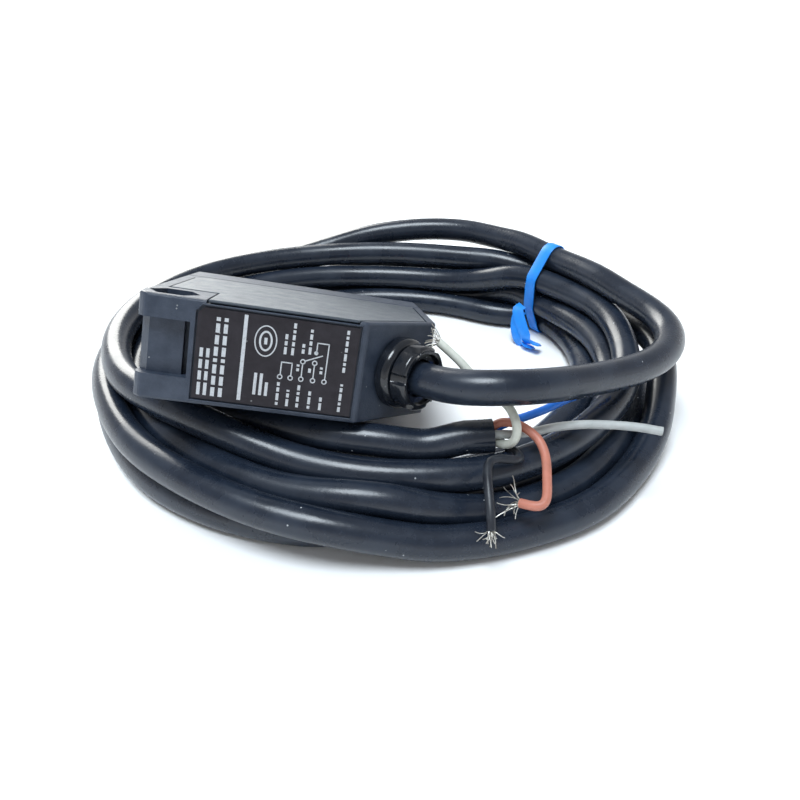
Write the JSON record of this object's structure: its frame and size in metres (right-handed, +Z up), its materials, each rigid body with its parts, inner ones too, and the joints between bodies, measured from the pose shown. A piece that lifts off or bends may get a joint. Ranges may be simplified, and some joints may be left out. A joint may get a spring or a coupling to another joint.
{
  "type": "photoelectric sensor",
  "caption": "Block-shaped photoelectric sensor with a lens window, label, adjusters and a 45 degree cable gland, lying on its coiled lead with five bared cores.",
  "frame": {"origin": "on the floor under the middle of the tilted sensor, lead not counted", "axes": "+Z up; +X roughly from the adjuster end of the sensor to its cable end; +Y roughly from its label face to its lens face"},
  "size_m": [0.1273, 0.1166, 0.0397],
  "materials": {
    "case": "moulded, fine satin texture",
    "cover": "moulded, satin",
    "label": "printed film, satin",
    "gland": "moulded, glossy",
    "seal": "matte",
    "window": "polished acrylic, dark red",
    "lens": "clear, polished",
    "filter": "grey film",
    "inner_plastic": "moulded",
    "steel": "plain",
    "board": "solder mask",
    "relay": "moulded",
    "copper": "enamelled winding",
    "varistor": "dipped coating",
    "dial": "moulded",
    "green_light": "clear tinted",
    "orange_light": "clear tinted",
    "jacket": "extruded PVC, half gloss",
    "core_brown": "extruded PVC",
    "core_gray": "extruded PVC",
    "core_white": "extruded PVC",
    "core_black": "extruded PVC",
    "core_blue": "extruded PVC",
    "strand": "tinned copper, dull",
    "tie": "coated flat tie"
  },
  "bodies": {
    "sensor_body": {"rear_case": "case", "front_case": "case", "side_cover": "cover", "data_label": "label", "gland_boss": "gland", "gland_ring": "gland", "window_seal": "seal", "adjuster_seal": "seal", "selector_seal": "seal", "front_window": "window", "emitter_lens": "lens", "receiver_lens": "lens", "emitter_led": "lens", "emitter_filter": "filter", "receiver_filter": "filter", "lens_holder": "inner_plastic", "receiver_photodiode": "inner_plastic", "shield_can": "steel", "cable_clamp": "steel", "threaded_insert": "steel", "main_board": "board", "power_board": "board", "output_relay": "relay", "supply_choke": "copper", "filter_capacitor": "inner_plastic", "varistor": "varistor", "sensitivity_potentiometer": "inner_plastic", "selector_switch": "inner_plastic", "stability_indicator": "green_light", "stability_lamp": "green_light", "operation_indicator": "orange_light", "operation_lamp": "orange_light", "cable_lead": "jacket", "cable_coil": "jacket", "cable_end": "jacket", "core_brown": "core_brown", "core_gray": "core_gray", "core_white": "core_white", "core_black": "core_black", "core_blue": "core_blue", "strands_brown": "strand", "strands_white": "strand", "strands_black": "strand", "twist_tie": "tie"},
    "sensitivity_adjuster": {"sensitivity_adjuster": "dial"},
    "operation_selector": {"operation_selector": "dial"}
  },
  "joints": [
    {"name": "sensitivity_turn", "type": "hinge", "parent": "sensor_body", "child": "sensitivity_adjuster", "pos_m": [-0.02333, -0.00889, 0.02678], "axis": [0.9849, 0.0344, -0.1695], "range_deg": [-120, 120]},
    {"name": "selector_turn", "type": "hinge", "parent": "sensor_body", "child": "operation_selector", "pos_m": [-0.02411, -0.00037, 0.02398], "axis": [0.9849, 0.0344, -0.1695], "range_deg": [0, 90]}
  ]
}
